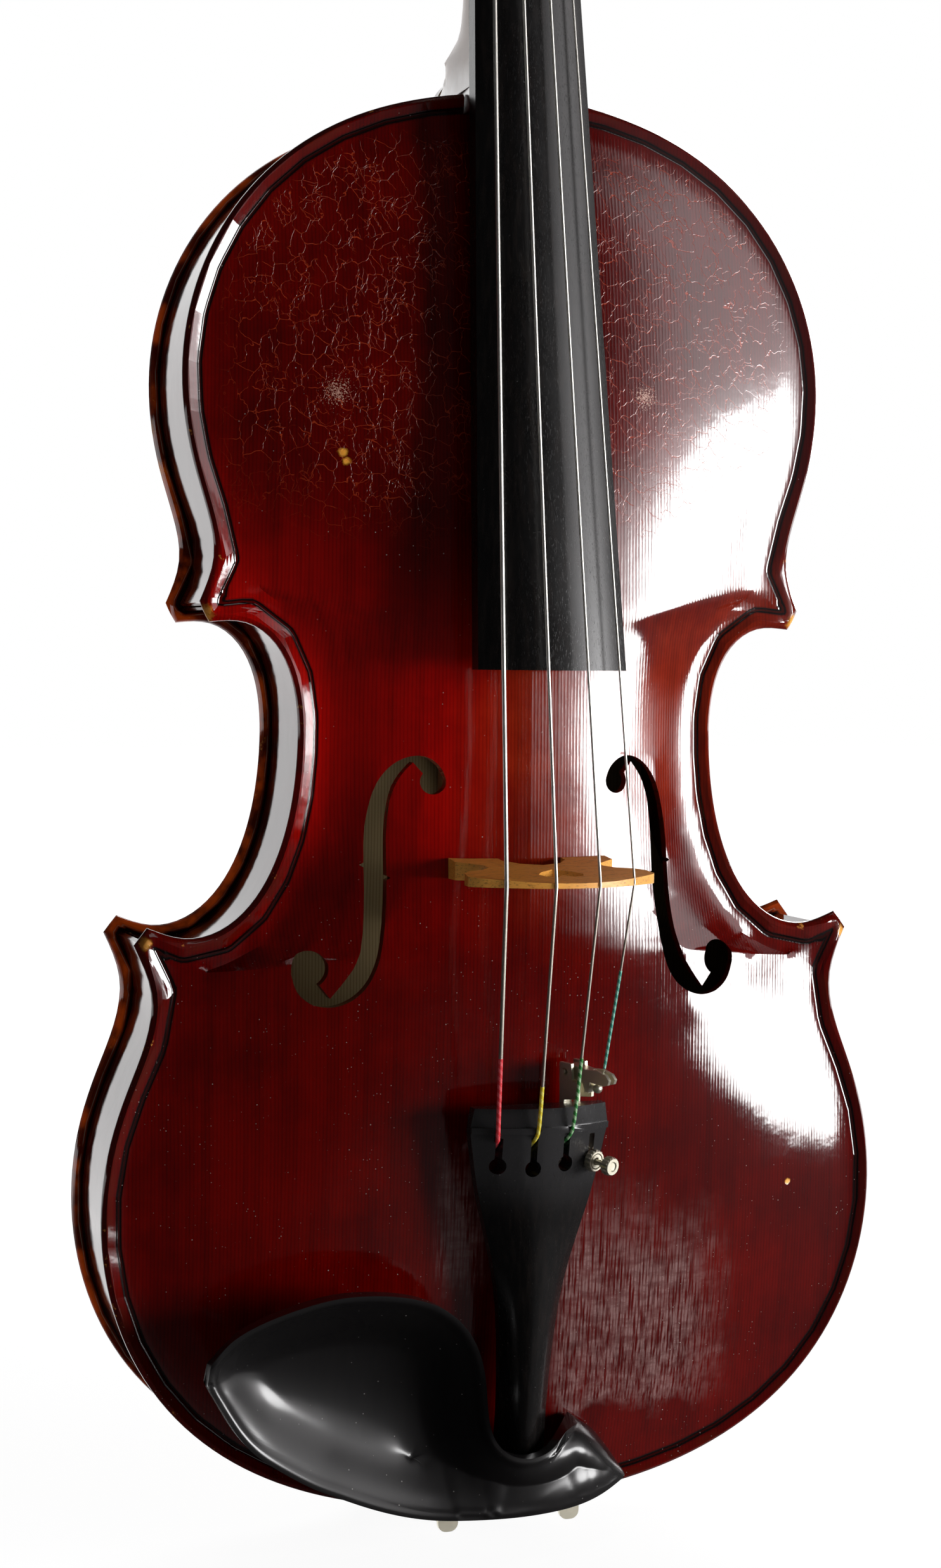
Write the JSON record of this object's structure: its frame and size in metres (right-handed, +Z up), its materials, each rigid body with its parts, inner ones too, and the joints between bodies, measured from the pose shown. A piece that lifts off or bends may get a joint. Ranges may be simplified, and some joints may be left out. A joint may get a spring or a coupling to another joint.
{
  "type": "viola",
  "caption": "Full-size viola with arched f-holed body, carved scroll, pegs, bridge, tailpiece with fine tuner, and side-mounted chinrest.",
  "frame": {"origin": "centre of the end button's flat outer face, at the bottom of the upright instrument", "axes": "+Z up the body to the scroll, -Y out of the front with the strings, +X to the treble side (the player's right of the strings)"},
  "size_m": [0.2368, 0.109, 0.6648],
  "materials": {
    "varnished_spruce": "glossy red-brown varnish over straight-grained spruce",
    "varnished_maple": "glossy red-brown varnish over maple",
    "raw_spruce": "bare spruce inside the body",
    "neck_maple": "smooth pale maple",
    "bridge_maple": "amber maple, satin",
    "ebony": "polished black ebony",
    "tailgut": "black cord",
    "steel_wire": "flat-wound steel",
    "silk_red": "wound silk",
    "silk_yellow": "wound silk",
    "silk_green": "wound silk",
    "silk_teal": "wound silk",
    "nickel": "nickel plated",
    "cork": "cork sheet"
  },
  "bodies": {
    "instrument": {"front_plate_bass": "varnished_spruce", "front_plate_treble": "varnished_spruce", "back_plate_bass": "varnished_maple", "back_plate_treble": "varnished_maple", "upper_rib_bass": "varnished_maple", "middle_rib_bass": "varnished_maple", "lower_rib_bass": "varnished_maple", "upper_corner_block_bass": "raw_spruce", "lower_corner_block_bass": "raw_spruce", "upper_rib_treble": "varnished_maple", "middle_rib_treble": "varnished_maple", "lower_rib_treble": "varnished_maple", "upper_corner_block_treble": "raw_spruce", "lower_corner_block_treble": "raw_spruce", "neck_block": "raw_spruce", "end_block": "raw_spruce", "bass_bar": "raw_spruce", "sound_post": "raw_spruce", "fingerboard": "ebony", "neck_and_scroll": "neck_maple", "string_c": "steel_wire", "string_g": "steel_wire", "string_d": "steel_wire", "string_a": "steel_wire", "nut": "ebony", "bridge": "bridge_maple", "tailpiece": "ebony", "silk_c": "silk_red", "silk_g": "silk_yellow", "silk_d": "silk_green", "silk_a": "silk_teal", "tuner_pin": "nickel", "tuner_bracket": "nickel", "tuner_collar": "nickel", "saddle": "ebony", "end_button": "ebony", "tailgut": "tailgut", "chinrest": "ebony", "cork_pad_bass": "cork", "cork_pad_treble": "cork", "clamp_stud_bass": "nickel", "clamp_stud_treble": "nickel"},
    "peg_c": {"peg_c": "ebony", "winding_c": "steel_wire"},
    "peg_g": {"peg_g": "ebony", "winding_g": "steel_wire"},
    "peg_d": {"peg_d": "ebony", "winding_d": "steel_wire"},
    "peg_a": {"peg_a": "ebony", "winding_a": "steel_wire"},
    "tuner_shank": {"tuner_screw": "nickel"},
    "tuner_head": {"tuner_head": "nickel"},
    "tuner_lever": {"tuner_lever": "nickel", "string_a_ball": "steel_wire"},
    "clamp_foot": {"clamp_foot": "nickel", "foot_cork": "cork"},
    "clamp_barrel_bass": {"clamp_barrel_bass": "nickel"},
    "clamp_barrel_treble": {"clamp_barrel_treble": "nickel"}
  },
  "joints": [
    {"name": "peg_c_turn", "type": "hinge", "parent": "instrument", "child": "peg_c", "pos_m": [0, 0.004, 0.57764], "axis": [1, 0, 0], "continuous": true},
    {"name": "peg_g_turn", "type": "hinge", "parent": "instrument", "child": "peg_g", "pos_m": [0, 0.01083, 0.60701], "axis": [1, 0, 0], "continuous": true},
    {"name": "peg_d_turn", "type": "hinge", "parent": "instrument", "child": "peg_d", "pos_m": [0, 0.01194, 0.61947], "axis": [1, 0, 0], "continuous": true},
    {"name": "peg_a_turn", "type": "hinge", "parent": "instrument", "child": "peg_a", "pos_m": [0, 0.00742, 0.59232], "axis": [1, 0, 0], "continuous": true},
    {"name": "tuner_shank_slide", "type": "slide", "parent": "instrument", "child": "tuner_shank", "axis": [-0.4067, 0.9064, 0.1142], "range_m": [0, 0.00158]},
    {"name": "tuner_head_turn", "type": "hinge", "parent": "tuner_shank", "child": "tuner_head", "pos_m": [0.01821, -0.05414, 0.11175], "axis": [-0.4067, 0.9064, 0.1142], "range_deg": [0, 1260.1]},
    {"name": "tuner_lever_tilt", "type": "hinge", "parent": "instrument", "child": "tuner_lever", "pos_m": [0.01162, -0.04243, 0.13722], "axis": [0.9135, 0.4035, 0.0508], "range_deg": [0, 3.8]},
    {"name": "clamp_foot_slide", "type": "slide", "parent": "instrument", "child": "clamp_foot", "axis": [0, 1, 0], "range_m": [0, 0.005]},
    {"name": "clamp_barrel_bass_turn", "type": "hinge", "parent": "clamp_foot", "child": "clamp_barrel_bass", "pos_m": [-0.0186, -0.001, 0.006], "axis": [0, 1, 0], "range_deg": [0, 1125.1]},
    {"name": "clamp_barrel_treble_turn", "type": "hinge", "parent": "clamp_foot", "child": "clamp_barrel_treble", "pos_m": [0.0186, -0.001, 0.006], "axis": [0, 1, 0], "range_deg": [0, 1125.1]}
  ],
  "couplings": [
    {"joint": "tuner_head_turn", "follows": "tuner_shank_slide", "rad_per_m": 13963},
    {"joint": "tuner_lever_tilt", "follows": "tuner_shank_slide", "rad_per_m": 42.017},
    {"joint": "clamp_barrel_bass_turn", "follows": "clamp_foot_slide", "rad_per_m": 3927},
    {"joint": "clamp_barrel_treble_turn", "follows": "clamp_foot_slide", "rad_per_m": 3927}
  ]
}
